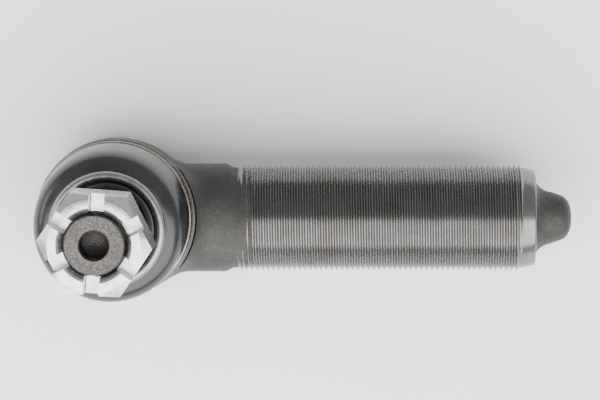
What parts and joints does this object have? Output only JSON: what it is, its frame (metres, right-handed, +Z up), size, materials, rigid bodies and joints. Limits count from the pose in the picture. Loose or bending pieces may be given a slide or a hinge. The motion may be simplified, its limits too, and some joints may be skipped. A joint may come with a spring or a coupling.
{
  "type": "tie rod end",
  "caption": "Steering tie rod end with a forged eye, a long threaded shank, a leaning ball stud under a rubber boot and a castle nut.",
  "frame": {"origin": "middle of the closing cover's outer face, on the eye's upright axis", "axes": "+X along the threaded shank to its nose, +Z up the eye's axis through the ball to the stud, +Y completes the right-handed set"},
  "size_m": [0.1519, 0.0456, 0.0853],
  "materials": {
    "forged_steel": "phosphated forging, matt and grainy; the rolled or cut thread is bare dark steel",
    "cover_steel": "turned and oiled steel",
    "seal_rubber": "matt black",
    "spring_steel": "blued spring steel",
    "seat_plastic": "natural acetal, greased",
    "base_ring_steel": "bright strip with a faint copper cast",
    "boot_rubber": "glossy moulded black",
    "cap_ring_zinc": "satin zinc",
    "stud_steel": "grainy machined steel, oil-darkened",
    "nut_zinc": "bright blue-white zinc plating"
  },
  "bodies": {
    "housing": {"housing_forging": "forged_steel", "closing_cover": "cover_steel", "cover_seal_ring": "seal_rubber", "preload_disc_spring": "spring_steel", "lower_ball_seat": "seat_plastic", "upper_ball_seat": "seat_plastic", "boot_base_ring": "base_ring_steel"},
    "boot": {"dust_boot": "boot_rubber"},
    "boot_cap": {"boot_cap_ring": "cap_ring_zinc"},
    "stud": {"ball_stud": "stud_steel"},
    "nut": {"castle_nut": "nut_zinc"}
  },
  "joints": [
    {"name": "lean_direction", "type": "hinge", "parent": "housing", "child": "boot", "pos_m": [0, 0, 0.022], "axis": [0, 0, 1], "continuous": true},
    {"name": "stud_tilt", "type": "hinge", "parent": "boot", "child": "boot_cap", "pos_m": [0, 0, 0.022], "axis": [0.9397, -0.342, 0], "range_deg": [-5.1, 16.9], "deforming": ["dust_boot"]},
    {"name": "stud_spin", "type": "hinge", "parent": "boot_cap", "child": "stud", "pos_m": [0, 0, 0.022], "axis": [-0.0304, -0.0835, 0.996], "continuous": true},
    {"name": "nut_turn", "type": "hinge", "parent": "stud", "child": "nut", "pos_m": [-0.00144, -0.00396, 0.06921], "axis": [-0.0304, -0.0835, 0.996], "continuous": true}
  ]
}
